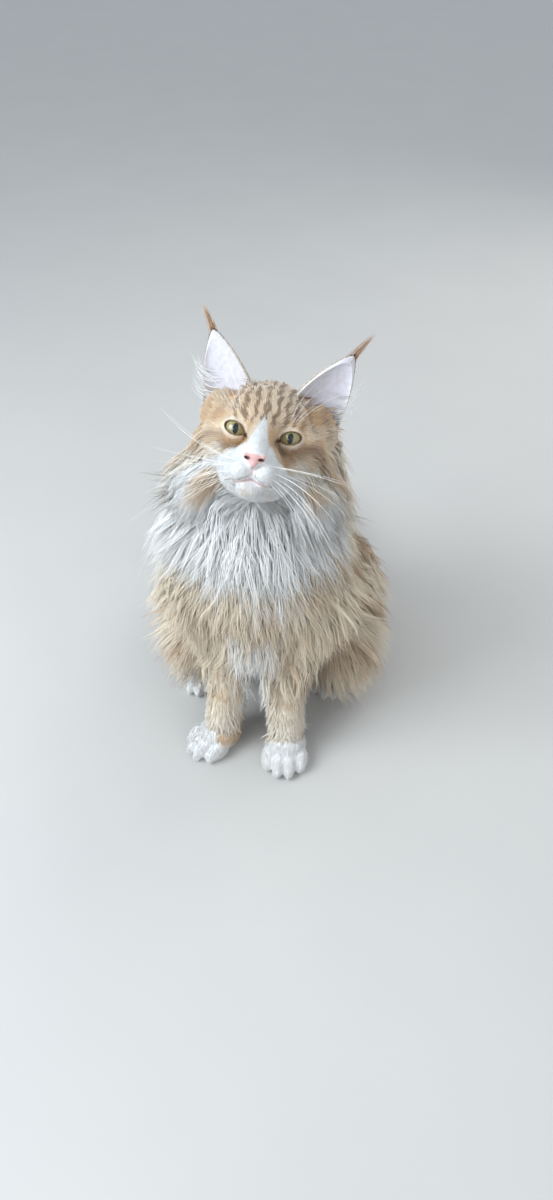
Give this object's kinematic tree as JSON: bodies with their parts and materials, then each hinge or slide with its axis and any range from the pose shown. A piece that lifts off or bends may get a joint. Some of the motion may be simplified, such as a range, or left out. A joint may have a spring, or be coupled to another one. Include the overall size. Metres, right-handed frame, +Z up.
{
  "type": "sitting maine coon cat model",
  "caption": "Still life-size model of a sitting, long-haired maine coon cat that looks up, with ear tufts, a ruff of long locks and its tail laid on the floor.",
  "frame": {"origin": "on the floor, under the middle of the model's bounding box", "axes": "+Z up; -Y the way the cat faces, so +Y towards its tail; +X towards its left side"},
  "size_m": [0.3138, 0.5218, 0.4622],
  "materials": {
    "face_coat": "short orange and white tabby fur",
    "ear_coat": "thin ear skin with short fur",
    "ruff_coat": "long white fur",
    "body_coat": "long cream and orange tabby fur",
    "paw_coat": "short white fur",
    "eye": "wet, glossy"
  },
  "bodies": {
    "root": {"eye_left": "eye", "eye_right": "eye", "head": "face_coat", "ear_left": "ear_coat", "ear_right": "ear_coat", "neck": "ruff_coat", "torso": "body_coat", "foreleg_left": "body_coat", "foreleg_right": "body_coat", "forepaw_left": "paw_coat", "forepaw_right": "paw_coat", "haunch_left": "body_coat", "haunch_right": "body_coat", "hind_paw_left": "paw_coat", "hind_paw_right": "paw_coat", "tail_base": "body_coat", "tail_middle": "body_coat", "tail_tip": "body_coat"}
  },
  "joints": []
}
